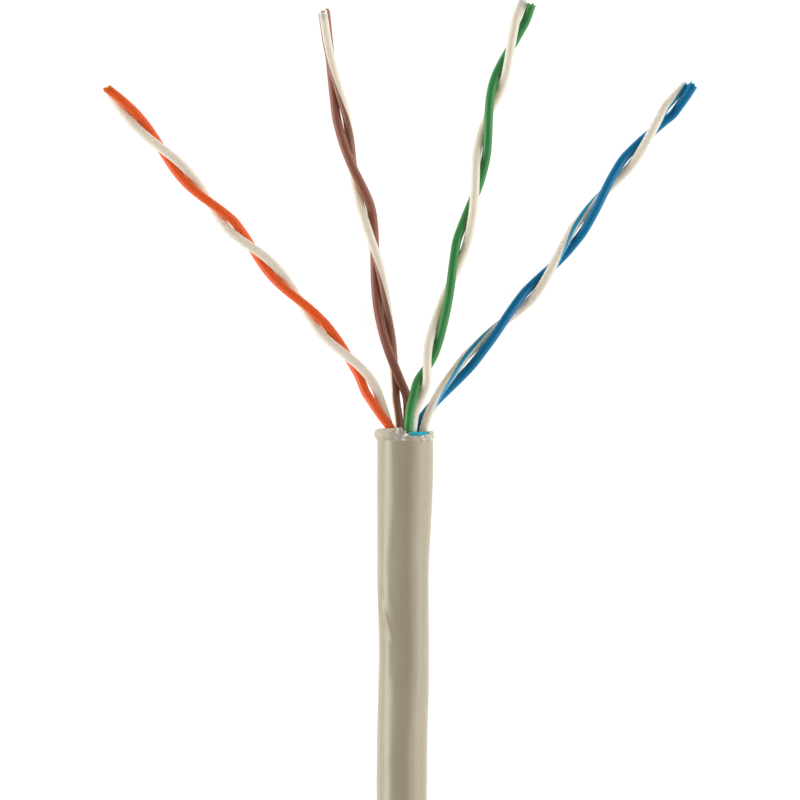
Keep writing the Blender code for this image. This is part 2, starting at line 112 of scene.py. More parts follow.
# Each pair: the degrees round the cable where it leaves, the length in which it comes down to the floor, its
# route as place across, place along and half twists so far, its gaps as half twists and width, and where
# the white wire's tracer faces, as half twists and degrees from the pair's outside. At an even number of
# half twists the coloured wire is on top, and at an odd number the white one is.
PAIRS = {
    "orange": {
        "seat": 160.0,
        "descent": 22.0,
        "route": [
            (-1.56, 0.3, -0.06), (-2.4, 2.0, None), (-3.3, 3.8, None), (-4.55, 6.1, None), (-6.0, 7.9, 1.0),
            (-8.3, 10.5, None), (-11.1, 13.8, 2.0), (-16.1, 19.4, 3.0), (-18.2, 21.6, None),
            (-20.6, 24.2, 4.0), (-25.7, 29.9, 5.0), (-31.3, 36.1, 6.0),
        ],
        "gaps": [(0.5, 0.09), (1.5, 0.02), (3.5, 0.04)],
        "tracer": [(0.0, 180.0), (6.0, 180.0)],
    },
    "brown": {
        "seat": 250.0,
        "descent": 14.0,
        "route": [
            (-0.2, 0.3, -0.7), (-0.24, 2.0, -0.57), (-0.42, 3.7, -0.44), (-0.82, 5.5, -0.18),
            (-1.2, 7.1, 0.0), (-2.3, 12.6, None), (-3.2, 19.1, 1.0), (-4.0, 23.1, None),
            (-5.5, 27.8, 2.0), (-6.85, 34.0, None), (-7.9, 39.5, 3.0), (-8.5, 44.0, 3.1),
        ],
        "gaps": [(-0.47, 0.12), (1.5, 0.03), (2.55, 0.05)],
        "tracer": [
            (-0.7, 288.0), (-0.44, 246.0), (-0.18, 200.0), (0.2, 115.0), (1.0, 110.0), (1.8, 140.0),
            (2.2, 105.0), (2.6, 115.0), (3.2, 85.0),
        ],
    },
    "green": {
        "seat": 70.0,
        "descent": 30.0,
        "route": [
            (0.55, 0.3, 0.15), (0.76, 2.1, 0.19), (1.46, 4.2, 0.38), (2.28, 6.8, 1.0), (3.3, 10.5, None),
            (4.8, 15.7, 2.0), (6.0, 20.0, None), (7.3, 24.8, 3.0), (8.8, 33.4, 4.0), (11.1, 40.4, 5.0),
            (12.8, 45.0, 5.55),
        ],
        "gaps": [(2.45, 0.07), (3.5, 0.03), (5.35, 0.08)],
        "tracer": [(0.0, 180.0), (6.0, 180.0)],
    },
    "blue": {
        "seat": 340.0,
        "descent": 18.0,
        "route": [
            (1.6, 0.3, 0.72), (2.1, 1.5, 0.84), (2.9, 2.85, 1.0), (5.7, 6.3, None), (7.5, 8.4, None),
            (10.3, 11.5, 2.0), (13.3, 14.7, None), (15.5, 17.4, 3.0), (18.8, 22.1, None),
            (20.9, 25.1, 4.0), (25.9, 31.5, 5.0), (30.0, 36.5, 5.8),
        ],
        "gaps": [(1.5, 0.07), (2.5, 0.03), (3.5, 0.06), (4.5, 0.05), (5.35, 0.13)],
        "tracer": [(0.7, -120.0), (1.0, -75.0), (1.5, -90.0), (3.5, -95.0), (4.6, -95.0), (5.5, -140.0)],
    },
}

TRACER_HALF_FACES = {"orange": 1, "brown": 4, "green": 1, "blue": 2}  # half of its width, in wire sides

# How far each conductor's cut end stands past its route, and the seed of its ragged edge
TIPS = {
    "orange_wire": (0.1, 3), "white_orange_wire": (-0.5, 5),
    "brown_wire": (0.3, 7), "white_brown_wire": (0.05, 11),
    "green_wire": (0.1, 13), "white_green_wire": (0.25, 17),
    "blue_wire": (0.2, 19), "white_blue_wire": (-0.25, 23),
}
TIP_OVERHANG = 0.08         # least length of insulation past its last station
# The copper's rounded end, as how far it stands back from the insulation's and the share of its radius
CORE_SETBACKS = [(0.16, 1.0), (0.12, 0.92), (0.1, 0.6)]

# Place of the mouth's middle in the frame, from the jacket's own box
jacket_low, jacket_high = (Vector(corner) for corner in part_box("jacket"))
MOUTH = Vector(((jacket_low.x + jacket_high.x) / 2, jacket_high.y - LIP_TOP * MM, 0.0))


def to_frame(point):
    """Millimetres from the mouth's middle to metres in the frame."""
    return Vector(point) * MM + MOUTH


# ---------------------------------------------------------------- materials

GRAIN_DETAIL = 3.0          # octaves of every noise


def srgb(red, green, blue):
    """A linear colour from 8-bit display values."""
    parts = (red / 255, green / 255, blue / 255)
    return tuple(p / 12.92 if p <= 0.04045 else ((p + 0.055) / 1.055) ** 2.4 for p in parts)


class Look:
    """A procedural Principled material, put together a feature at a time."""

    def __init__(self, name, roughness, metallic=0.0, specular=0.5):
        self.material = bpy.data.materials.new(name)
        self.material.use_nodes = True
        self.nodes = self.material.node_tree.nodes
        self.links = self.material.node_tree.links
        self.shader = self.nodes["Principled BSDF"]
        self.shader.inputs["Roughness"].default_value = roughness
        self.shader.inputs["Metallic"].default_value = metallic
        self.shader.inputs["Specular IOR Level"].default_value = specular
        self.place = self.nodes.new("ShaderNodeTexCoord").outputs["Object"]
        self.height = None

    def grain(self, size_mm):
        """Noise whose features are about size_mm across."""
        texture = self.nodes.new("ShaderNodeTexNoise")
        texture.inputs["Scale"].default_value = 1.0 / (size_mm * MM)
        texture.inputs["Detail"].default_value = GRAIN_DETAIL
        self.links.new(self.place, texture.inputs["Vector"])
        return texture.outputs["Fac"]

    def colour(self, pale, dark, size_mm):
        """Base colour that wanders between two tones."""
        mix = self.nodes.new("ShaderNodeMix")
        mix.data_type = "RGBA"
        mix.inputs["A"].default_value = (*dark, 1.0)
        mix.inputs["B"].default_value = (*pale, 1.0)
        self.links.new(self.grain(size_mm), mix.inputs["Factor"])
        self.links.new(mix.outputs["Result"], self.shader.inputs["Base Color"])
        return self

    def wear(self, low, high, size_mm):
        """Roughness that varies from place to place."""
        span = self.nodes.new("ShaderNodeMapRange")
        span.inputs["To Min"].default_value = low
        span.inputs["To Max"].default_value = high
        self.links.new(self.grain(size_mm), span.inputs["Value"])
        self.links.new(span.outputs["Result"], self.shader.inputs["Roughness"])
        return self

    def bump(self, size_mm, depth_mm):
        """Relief of the given depth, on top of any that is there already."""
        made = self.nodes.new("ShaderNodeBump")
        made.inputs["Strength"].default_value = 1.0
        made.inputs["Distance"].default_value = depth_mm * MM
        self.links.new(self.grain(size_mm), made.inputs["Height"])
        if self.height:
            self.links.new(self.height, made.inputs["Normal"])
        self.height = made.outputs["Normal"]
        self.links.new(self.height, self.shader.inputs["Normal"])
        return self

    def translucent(self, weight, radii, depth_mm):
        """Light that soaks in and comes out again within about depth_mm."""
        self.shader.inputs["Subsurface Weight"].default_value = weight
        self.shader.inputs["Subsurface Radius"].default_value = radii
        self.shader.inputs["Subsurface Scale"].default_value = depth_mm * MM
        return self


def insulation_look(name, pale, dark, glow):
    """Extruded insulation: satin and a little translucent, with small scuffs."""
    look = Look(name, 0.36, specular=0.35).colour(pale, dark, 3.5).wear(0.3, 0.46, 1.2)
    return look.bump(0.35, 0.006).bump(2.2, 0.02).translucent(glow, (1.0, 0.9, 0.8), 0.9).material


def torn_look(name, pale, dark, glow):
    """Sheath whitened where it was scored, bent and torn: rougher, paler and less opaque. The near-white
    colours given for the torn edge are partly a painted highlight.
    """
    look = Look(name, 0.5).colour(pale, dark, 0.5).wear(0.4, 0.62, 0.4)
    return look.bump(0.22, 0.04).bump(0.9, 0.08).translucent(glow, (1.0, 0.85, 0.75), 0.6).material


def make_looks():
    """Every material, by the name it goes by here."""
    looks = {
        "jacket": Look("jacket_sheath", 0.32, specular=0.5)
        .colour(srgb(189, 178, 152), srgb(181, 170, 144), 6.0)
        .wear(0.25, 0.37, 5.0)
        .bump(0.5, 0.006)
        .bump(3.5, 0.03)
        .material,
        "collar": torn_look("whitened_collar", srgb(213, 201, 179), srgb(192, 181, 158), 0.4),
        # Torn edge and flakes: the sheath's own whitening where it tore, with the colour pushed to near white
        # as a painted highlight for the glints along the tear
        "torn": torn_look("torn_sheath_whitening_and_painted_glint", srgb(255, 250, 236), srgb(240, 230, 208), 0.6),
        "orange": insulation_look("orange_insulation", srgb(255, 114, 50), srgb(252, 98, 34), 0.5),
        "green": insulation_look("green_insulation", srgb(72, 158, 84), srgb(56, 138, 70), 0.4),
        "blue": insulation_look("blue_insulation", srgb(0, 132, 180), srgb(0, 114, 164), 0.3),
        "brown": insulation_look("brown_insulation", srgb(170, 110, 88), srgb(148, 92, 72), 0.4),
        "white": insulation_look("white_insulation", srgb(250, 238, 223), srgb(243, 229, 213), 0.8),
        "copper": Look("copper_core", 0.42, metallic=1.0).colour(srgb(190, 138, 108), srgb(150, 98, 72), 0.3)
        .bump(0.12, 0.02).material,
        "film": Look("blue_film", 0.3, specular=0.2).colour(srgb(0, 212, 226), srgb(0, 158, 184), 0.5)
        .bump(0.5, 0.12).material,
        "silver": Look("bare_foil", 0.3, metallic=1.0).colour(srgb(225, 224, 220), srgb(190, 190, 186), 0.5)
        .bump(0.4, 0.1).material,
        "tinned": Look("tinned_wire", 0.3, metallic=1.0).colour(srgb(222, 222, 220), srgb(190, 190, 190), 0.5)
        .bump(0.15, 0.01).material,
        "nylon": Look("ripcord_thread", 0.7).colour(srgb(235, 235, 230), srgb(215, 214, 208), 0.3)
        .bump(0.12, 0.05).material,
        "strap": Look("hook_and_loop", 0.85, specular=0.25).colour(srgb(44, 44, 46), srgb(22, 22, 24), 0.25)
        .bump(0.16, 0.12).material,
    }
    for colour, pale, dark in (
        ("orange", srgb(236, 110, 60), srgb(220, 96, 48)),
        ("green", srgb(84, 156, 98), srgb(70, 138, 84)),
        ("blue", srgb(40, 170, 206), srgb(20, 148, 186)),
        ("brown", srgb(172, 124, 102), srgb(152, 104, 84)),
    ):
        looks[f"{colour}_tracer"] = insulation_look(f"{colour}_tracer_ink", pale, dark, 0.4)
    return looks


# ---------------------------------------------------------------- curves and meshes


def smooth_through(knots, values, places):
    """Cubic pieces through values at the knots, with no kink between them."""
    knots = np.asarray(knots, float)
    values = np.asarray(values, float)
    slopes = np.gradient(values, knots, axis=0)
    left = np.clip(np.searchsorted(knots, places, side="right") - 1, 0, len(knots) - 2)
    span = knots[left + 1] - knots[left]
    t = (np.asarray(places) - knots[left]) / span
    if values.ndim > 1:
        t, span = t[:, None], span[:, None]
    rest = (2 * t**3 - 3 * t**2 + 1) * values[left] + (t**3 - 2 * t**2 + t) * span * slopes[left]
    return rest + (3 * t**2 - 2 * t**3) * values[left + 1] + (t**3 - t**2) * span * slopes[left + 1]


def ease(t):
    """0 to 1 with flat ends."""
    t = min(max(t, 0.0), 1.0)
    return t * t * (3 - 2 * t)


def lead_x(y):
    """Where the cable's plain axis is, across, at a place along it."""
    return AXIS_LEAN * y


def skin(rings, first_cap=True, last_cap=True):
    """Points and quads of a tube over rings of equal size."""
    sides = len(rings[0])
    faces = []
    for n in range(len(rings) - 1):
        for k in range(sides):
            a, b = n * sides + k, n * sides + (k + 1) % sides
            faces.append((a, b, b + sides, a + sides))
    if first_cap:
        faces.append(tuple(reversed(range(sides))))
    if last_cap:
        last = (len(rings) - 1) * sides
        faces.append(tuple(range(last, last + sides)))
    return [p for ring in rings for p in ring], faces


def signed_volume(mesh):
    """Six times the enclosed volume, negative when the faces look inwards."""
    total = 0.0
    for face in mesh.polygons:
        corners = [mesh.vertices[v].co for v in face.vertices]
        for b, c in zip(corners[1:], corners[2:]):
            total += corners[0].dot(b.cross(c))
    return total


def add_mesh(name, points, faces, looks, slots=None, sharp_degrees=45.0):
    """A smooth-shaded piece. Points are in millimetres from the mouth's middle."""
    mesh = bpy.data.meshes.new(name)
    mesh.from_pydata([to_frame(p) for p in points], [], faces)
    mesh.update()
    for look in looks:
        mesh.materials.append(look)
    if slots is not None:
        mesh.polygons.foreach_set("material_index", slots)
    if signed_volume(mesh) < 0:
        mesh.flip_normals()
    mesh.shade_smooth()
    mesh.set_sharp_from_angle(angle=math.radians(sharp_degrees))
    made = bpy.data.objects.new(name, mesh)
    bpy.context.scene.collection.objects.link(made)
    return made


# ---------------------------------------------------------------- the cable and its coil


def coil_turns():
    """Radius and height of each turn, in the order that the cable is wound."""
    rise = COIL_PITCH * math.sqrt(3) / 2
    low = COIL_LIFT + COIL_CABLE_RADIUS
    bottom = [(COIL_MIDDLE_RADIUS + COIL_PITCH * k, low) for k in (1.5, 0.5, -0.5, -1.5)]
    middle = [(COIL_MIDDLE_RADIUS + COIL_PITCH * k, low + rise) for k in (-1.0, 0.0, 1.0)]
    top = [(COIL_MIDDLE_RADIUS + COIL_PITCH * k, low + 2 * rise) for k in (0.5, -0.5)]
    return bottom + middle + top


def cable_path():
    """Axis of the cable from its mouth to its far end: straight back, a soft bend, then turn by turn."""
    path = []
    for y in np.arange(0.0, LEAD_BEND_START, -VISIBLE_STEP):
        path.append(Vector((sheath_x(float(y)), float(y), jacket_radius(float(y)))))
    turns = coil_turns()
    entry = math.radians(COIL_ENTRY_DEGREES)
    begin = Vector((sheath_x(LEAD_BEND_START), LEAD_BEND_START, jacket_radius(LEAD_BEND_START)))
    meet = COIL_CENTRE + Vector((math.cos(entry), math.sin(entry), 0.0)) * turns[0][0]
    meet.z = turns[0][1]
    reach = (meet - begin).length
    leave = Vector((0.0, -1.0, 0.0)) * reach
    arrive = Vector((-math.sin(entry), math.cos(entry), 0.0)) * reach
    for t in np.linspace(0.0, 1.0, LEAD_BEND_STEPS, endpoint=False):
        point = begin * (2 * t**3 - 3 * t**2 + 1) + leave * (t**3 - 2 * t**2 + t)
        path.append(point + meet * (3 * t**2 - 2 * t**3) + arrive * (t**3 - t**2))
    jog = math.radians(JOG_DEGREES)
    step = math.radians(COIL_STEP_DEGREES)
    for n, (radius, height) in enumerate(turns):
        after = turns[n + 1] if n + 1 < len(turns) else (radius, height)
        for k in range(round(2 * math.pi / step)):
            turned = k * step
            share = ease((turned - (2 * math.pi - jog)) / jog)
            bump = JOG_LIFT * math.sin(math.pi * share) ** 2 if height > turns[0][1] else 0.0
            r = radius + (after[0] - radius) * share
            z = height + (after[1] - height) * share + bump
            angle = entry + turned
            path.append(COIL_CENTRE + Vector((r * math.cos(angle), r * math.sin(angle), z)))
    return path


def jacket_radius(y):
    """The sheath is a little wider at its worked mouth than further back."""
    places = [-120.0, -36.0, -30.0, -23.0, -17.6, -13.0, -9.0, -5.0, 0.5]
    radii = [COIL_CABLE_RADIUS, 2.63, 2.62, 2.66, 2.69, 2.73, 2.83, 2.93, 2.95]
    return float(np.interp(y, places, radii))


def bore_radius(y):
    """The bore is tight on the film, and opens where the mouth was worked."""
    return JACKET_INSIDE - BORE_TIGHTENS * ease((BORE_TIGHT_FROM - y) / BORE_TIGHT_OVER)


def sway(y):
    """The slight wander of the axis that a cable straightened by hand keeps."""
    return 0.1 * math.cos(2 * math.pi * (y + 25.0) / 22.0) * math.exp(-(((y + 19.0) / 17.0) ** 2))


def sheath_x(y):
    """Where the sheath's own axis is, across, at a place along it."""
    return lead_x(y) + sway(y)


# The torn lip: degrees round the cable from the right, and how far it stands past the mouth's plane there
LIP = [
    (0, 0.0), (12, 0.08), (19, 0.06), (24, -0.14), (30, -0.26), (42, -0.35), (55, -0.42), (68, -0.45),
    (80, -0.42), (86, -0.34), (90, -0.22), (94, 0.05), (97, 0.34), (99, 0.46), (104, 0.38), (112, 0.34),
    (140, 0.35), (155, 0.32), (168, 0.22), (180, 0.1), (230, 0.2), (270, 0.3), (320, 0.15), (360, 0.0),
]
COLLAR_END = -0.86          # the score that the jacket was torn along
COLLAR_SETTLED = -1.7       # where the sheath is back to its plain shape
COLLAR_RINGS = 26
FLARE_LEFT, FLARE_RIGHT, FLARE_TOP = 0.31, 0.1, 0.03
FLARE_OVERRUN = 0.1         # how far below the score the flare starts
FLARE_LENGTH = 0.62
SCORE_DEPTH = 0.03
SCORE_HALF_WIDTH = 0.07
THROAT = -2.0               # where the bore starts to follow the lip
TORN_WALL = 0.24            # from the bore out to the crest of the torn edge
TORN_CREST = 0.05           # how far the crest stands past the wall's own edge
CREST_DROP = 0.03           # how far the bore stops short of it
LIP_ROUND = 0.07            # rounding of the outer edge, and the share of the collar that it takes
LIP_ROUND_SHARE = 0.06

# Flats, and the crease with its raised rim: depth, place along the sheath, degrees round it, and how far each
# fades along it and round it. The crease runs on a slant.
FLATS = [(-0.2, -13.6, 112.0, 6.4, 24.0), (-0.08, -23.5, 112.0, 3.4, 24.0)]
CREASES = [(-0.17, -19.1, 152.0, 0.5, 18.0), (0.12, -18.1, 148.0, 0.8, 22.0)]
CREASE_SLANT = 0.108        # millimetres along for each degree round
CREASE_MIDDLE = 148.0


def lip_reach(angle):
    """How far the torn lip stands past the mouth's plane, round the cable."""
    degrees, reach = zip(*LIP)
    ragged = 0.04 * noise.noise(Vector((math.cos(angle) * 5.0, math.sin(angle) * 5.0, 7.3)))
    return float(np.interp(math.degrees(angle) % 360.0, degrees, reach)) + ragged


def lip_flare(angle, y):
    """Outward roll of the collar, largest on the left, down to the score."""
    left = max(0.0, -math.cos(angle)) ** 0.7
    right = max(0.0, math.cos(angle)) ** 2
    top = max(0.0, math.sin(angle))
    rise = ease((y - COLLAR_END + FLARE_OVERRUN) / FLARE_LENGTH)
    return (FLARE_LEFT * left + FLARE_RIGHT * right + FLARE_TOP * top) * rise


def score(y, angle):
    """The shallow groove of the score, and crumpled swells above it."""
    groove = -SCORE_DEPTH * math.exp(-(((y - COLLAR_END) / SCORE_HALF_WIDTH) ** 2))
    above = ease((y - COLLAR_END) / 0.3)
    spot = Vector((math.cos(angle) * 4.5, y * 1.6, math.sin(angle) * 4.5))
    return groove + above * (0.05 * noise.noise(spot) + 0.03 * noise.noise(spot * 2.7))


def dented(y, turn, dents):
    """What a list of dents adds to the radius at a place along the sheath and degrees round it."""
    return sum(
        depth * math.exp(-(((y - centre_y) / long) ** 2) - ((turn - centre_turn) / wide) ** 2)
        for depth, centre_y, centre_turn, long, wide in dents
    )


def sheath_relief(y, angle):
    """Soft swells over the pairs beneath, flats and dents from handling, and the crease on the left."""
    lay = angle + 2 * math.pi * y / CABLE_LAY
    swell = 0.02 * math.cos(4 * (lay - math.radians(70.0)))
    spot = Vector((math.cos(angle) * 1.3, y * 0.16, math.sin(angle) * 1.3))
    soft = 0.03 * noise.noise(spot) + 0.02 * noise.noise(spot * 2.3 + Vector((5.0, 0.0, 0.0)))
    turn = math.degrees(angle)
    skew = CREASE_SLANT * (CREASE_MIDDLE - turn)
    return swell + soft + dented(y, turn, FLATS) + dented(y + skew, turn, CREASES)


def frame_at(path, n):
    """Tangent and the two directions across a path at one of its points."""
    ahead = path[min(n + 1, len(path) - 1)]
    behind = path[max(n - 1, 0)]
    tangent = (ahead - behind).normalized()
    side = tangent.cross(Vector((0.0, 0.0, 1.0))).normalized()
    return tangent, -side, (-side).cross(-tangent).normalized()


def cable_rings(path):
    """Rings of the sheath's wall and the look of each band: bore, torn edge, collar, outside, far end."""
    angles = [2 * math.pi * k / JACKET_SIDES for k in range(JACKET_SIDES)]
    rings, bands = [], []

    def add_ring(radii, places, heights, look):
        """A ring round the mouth's axis, from a radius, a place along and an axis height for each angle."""
        rings.append([
            Vector((sheath_x(y) + r * math.cos(a), y, max(high + r * math.sin(a), RESTING)))
            for a, r, y, high in zip(angles, radii, places, heights)
        ])
        bands.append(look)

    axis = [MOUTH_AXIS_HEIGHT] * JACKET_SIDES
    for y in (-SLEEVE_DEPTH - 0.15, -17.0, -14.0, -11.0, -8.0, -6.5, -5.0, -3.5, THROAT):
        add_ring([bore_radius(y)] * JACKET_SIDES, [y] * JACKET_SIDES, axis, 0)
    edges = [lip_reach(a) for a in angles]
    for share in (0.4, 0.7, 0.9, 1.0):
        places = [THROAT + (edge - THROAT - CREST_DROP) * share for edge in edges]
        add_ring([JACKET_INSIDE + lip_flare(a, y) for a, y in zip(angles, places)], places, axis, 0)
    bands[-1] = 1
    torn = []
    for a, y in zip(angles, edges):
        frayed = 0.05 * noise.noise(Vector((math.cos(a) * 7, math.sin(a) * 7, 1.0)))
        torn.append(JACKET_INSIDE + TORN_WALL + lip_flare(a, y) + frayed)
    add_ring(torn, [edge + TORN_CREST for edge in edges], axis, 1)
    for n in range(COLLAR_RINGS + 1):
        share = n / COLLAR_RINGS
        places = [edge + (COLLAR_SETTLED - edge) * share for edge in edges]
        settled = ease(share)
        rounded = LIP_ROUND * max(0.0, 1.0 - share / LIP_ROUND_SHARE)
        radii = [
            jacket_radius(y) + lip_flare(a, y) + score(y, a) + sheath_relief(y, a) * settled - rounded
            for a, y in zip(angles, places)
        ]
        heights = [MOUTH_AXIS_HEIGHT * (1 - settled) + jacket_radius(y) * settled for y in places]
        add_ring(radii, places, heights, 2)
    straight = sum(1 for centre in path if centre.y > LEAD_BEND_START)
    for n, centre in enumerate(path):
        if n < straight and centre.y > COLLAR_SETTLED - 0.1:
            continue
        _, side, up = frame_at(path, n)
        along = centre.y if n < straight else LEAD_BEND_START - 0.6 * (n - straight)
        ring = []
        for a in angles:
            r = jacket_radius(along) + sheath_relief(along, a)
            point = centre + side * (r * math.cos(a)) + up * (r * math.sin(a))
            point.z = max(point.z, RESTING)
            ring.append(point)
        rings.append(ring)
        bands.append(0)
    # The far end is cut square, with the wall turned in
    tangent, side, up = frame_at(path, len(path) - 1)
    for radius, back in ((COIL_CABLE_RADIUS - 0.06, -0.06), (2.3, -0.07), (2.26, 1.2)):
        middle = path[-1] - tangent * back
        rings.append([middle + side * (radius * math.cos(a)) + up * (radius * math.sin(a)) for a in angles])
        bands.append(0)
    return rings, bands


def build_cable(looks):
    """The sheath from its torn mouth to its far end, as one closed wall."""
    path = cable_path()
    rings, bands = cable_rings(path)
    points, faces = skin(rings)
    slots = []
    for n in range(len(rings) - 1):
        for k in range(JACKET_SIDES):
            whitened = bands[n] == 2 and rings[n][k].y + 0.04 > COLLAR_END
            slots.append(2 if whitened else bands[n] % 2)
    slots += [0, 0]
    coats = [looks["jacket"], looks["torn"], looks["collar"]]
    cable = add_mesh("cable_sheath", points, faces, coats, slots, 60.0)
    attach(cable, "root")
    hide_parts("jacket", "cable_lead", "cable_coil")
    return cable, path


# Flakes torn up at the mouth: look, angle round the cable, place along it, radius, heading from the cable's
# own direction towards the right, length, half width, and how far the free end lifts
FLAKES = {
    "notch_shard_a": ("torn", 105.0, -0.62, 3.06, 4.0, 1.1, 0.34, 0.26),
    "notch_shard_b": ("torn", 111.0, -0.4, 3.08, 38.0, 0.8, 0.24, 0.3),
    "notch_shard_c": ("torn", 96.0, -0.5, 3.04, 70.0, 0.6, 0.2, 0.24),
    "notch_shard_d": ("torn", 100.0, -0.66, 3.05, 104.0, 0.7, 0.17, 0.16),
    "lip_burr_a": ("torn", 56.0, -0.42, 3.06, 150.0, 0.52, 0.3, 0.16),
    "lip_burr_b": ("torn", 44.0, -0.42, 3.06, 80.0, 0.42, 0.2, 0.2),
    "lip_burr_c": ("torn", 33.0, -0.6, 3.09, 115.0, 0.55, 0.24, 0.14),
    "notch_foil_a": ("silver", 92.0, -0.4, 2.74, 15.0, 0.66, 0.24, 0.4),
    "notch_foil_b": ("silver", 87.0, -0.42, 2.72, -30.0, 0.55, 0.19, 0.36),
    "notch_foil_c": ("silver", 83.0, -0.32, 2.7, 40.0, 0.45, 0.14, 0.3),
}
FLAKE_THICKNESS = 0.05


def build_flakes(looks):
    """Small curled flakes of sheath and foil along the tear, each a thin tapering sheet."""
    for seed, (name, (look, degrees, y, radius, heading, length, half, lift)) in enumerate(FLAKES.items()):
        turn, way = math.radians(degrees), math.radians(heading)
        up = Vector((math.cos(turn), 0.0, math.sin(turn)))
        right = Vector((math.sin(turn), 0.0, -math.cos(turn)))
        ahead = Vector((0.0, 1.0, 0.0)) * math.cos(way) + right * math.sin(way)
        aside = ahead.cross(up)
        root = Vector((lead_x(y) + radius * math.cos(turn), y, MOUTH_AXIS_HEIGHT + radius * math.sin(turn)))
        rings = []
        for share in (0.0, 0.2, 0.4, 0.6, 0.8, 0.93, 1.0):
            uneven = 1.0 + 0.3 * noise.noise(Vector((seed, share * 4, 0.0)))
            width = half * (0.12 + (1.0 - share) ** 0.7) * uneven
            middle = root + ahead * (length * share) + up * (lift * share**1.6)
            loop = []
            for side, thick in ((-1, 0), (-0.4, 0), (0.3, 0), (1, 0), (1, 1), (0.3, 1), (-0.4, 1), (-1, 1)):
                crumple = 0.06 * noise.noise(Vector((seed * 3.1, share * 6, side * 2.5)))
                height = crumple - 0.25 * lift * side * side - FLAKE_THICKNESS * thick
                loop.append(middle + aside * (side * width) + up * height)
            rings.append(loop)
        flake = add_mesh(name, *skin(rings), [looks[look]])
        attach(flake, "root")


def build_far_end(looks, path):
    """What shows at the cut far end: eight insulated conductors inside the film."""
    tangent, side, up = frame_at(path, len(path) - 1)
    end = path[-1]
    made = []
    for number, colour in enumerate(PAIRS):
        seat = math.radians(PAIRS[colour]["seat"] + 30.0)
        middle = end + side * (QUAD_RADIUS * 0.9 * math.cos(seat)) + up * (QUAD_RADIUS * 0.9 * math.sin(seat))
        lean = seat + 0.9 * number
        for mate, coat in ((0, colour), (1, "white")):
            turn = lean + math.pi * mate
            centre = middle + (side * math.cos(turn) + up * math.sin(turn)) * INSULATION_RADIUS
            for part, radius, reach, look in (
                ("insulation", INSULATION_RADIUS * 0.96, -0.05, looks[coat]),
                ("copper", CORE_RADIUS, 0.04, looks["copper"]),
            ):
                rings = []
                for back, scale in ((-1.15, 1.0), (reach - 0.04, 1.0), (reach, 0.9)):
                    spot = centre + tangent * back
                    rings.append([
                        spot + (side * math.cos(a) + up * math.sin(a)) * radius * scale
                        for a in (2 * math.pi * k / CORE_SIDES for k in range(CORE_SIDES))
                    ])
                owner = colour if mate == 0 else f"white_{colour}"
                stub = add_mesh(f"far_end_{owner}_{part}", *skin(rings), [look])
                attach(stub, "root")
                made.append(stub)
    return made


# ---------------------------------------------------------------- the pairs


def quad_point(seat, radius, y):
    """A place inside the jacket, on the long left-handed lay of the four pairs."""
    angle = math.radians(seat) - 2 * math.pi * y / CABLE_LAY
    return (lead_x(y) + radius * math.cos(angle), y, MOUTH_AXIS_HEIGHT + radius * math.sin(angle))


def pair_course(pair):
    """Dense axis points of a pair, its twist angle at each, and the distance to each along the axis."""
    route = pair["route"]
    inside = [quad_point(pair["seat"], QUAD_RADIUS, y) for y in np.arange(-SLEEVE_DEPTH, 0.0, 4.0)]
    plan = inside + [(x, y, 0.0) for x, y, _ in route]
    steps = [math.dist(a[:2], b[:2]) for a, b in zip(plan, plan[1:])]
    along = np.concatenate([[0.0], np.cumsum(steps)])
    mouth = along[len(inside)]
    seat_height = quad_point(pair["seat"], QUAD_RADIUS, 0.0)[2]
    for n in range(len(inside), len(plan)):
        down = min((along[n] - mouth) / pair["descent"], 1.0)
        height = seat_height + (LYING_HEIGHT - seat_height) * down**2 * (3 - 2 * down)
        plan[n] = (plan[n][0], plan[n][1], height)
    counted = [(along[len(inside) + n], row[2]) for n, row in enumerate(route) if row[2] is not None]
    first_place, first_count = counted[0]
    before = [(s, first_count + (s - first_place) / INNER_HALF_TWIST) for s in along[: len(inside)]]
    places = np.linspace(0.0, along[-1], 1200)
    axis = smooth_through(along, plan, places)
    knots, counts = zip(*(before + counted))
    twist = math.pi / 2 + math.pi * smooth_through(knots, counts, places)
    return axis, twist, places


def standing_apart(gaps, angle):
    """How far each wire stands off the pair's axis, past touching, at a twist angle."""
    count = angle / math.pi - 0.5
    return TOUCHING_GAP + sum(wide * math.exp(-(((count - at) / GAP_SPREAD) ** 2)) for at, wide in gaps)


def wire_line(course, pair, mate, start, end, spacing):
    """Even stations of one conductor: its centre, and the ways that its tracer faces, across and forward."""
    axis, twist, places = course
    tracer_counts, tracer_turns = zip(*pair["tracer"])
    distance = np.linspace(start, end, round((end - start) / spacing))
    slope = np.gradient(axis, places, axis=0)
    stations = []
    for s in distance:
        point = Vector([float(np.interp(s, places, axis[:, k])) for k in range(3)])
        forward = Vector([float(np.interp(s, places, slope[:, k])) for k in range(3)]).normalized()
        angle = float(np.interp(s, places, twist))
        off_axis = INSULATION_RADIUS + standing_apart(pair["gaps"], angle)
        roll = math.radians(float(np.interp(angle / math.pi - 0.5, tracer_counts, tracer_turns)))
        angle += math.pi * mate
        right = Vector((forward.y, -forward.x, 0.0)).normalized()
        up = right.cross(forward)
        outward = right * math.cos(angle) + up * math.sin(angle)
        across = up * math.cos(angle) - right * math.sin(angle)
        turned = outward * math.cos(roll) + across * math.sin(roll)
        stations.append((point + outward * off_axis, turned, outward.cross(across).cross(turned), forward))
    return stations


def wire_ring(station, radius, sides, shift=None):
    """A ring round a station, with each point moved forward by a shift that depends on its angle."""
    centre, outward, across, forward = station
    ring = []
    for k in range(sides):
        a = 2 * math.pi * k / sides
        extra = forward * shift(a) if shift else Vector()
        ring.append(centre + (outward * math.cos(a) + across * math.sin(a)) * radius + extra)
    return ring


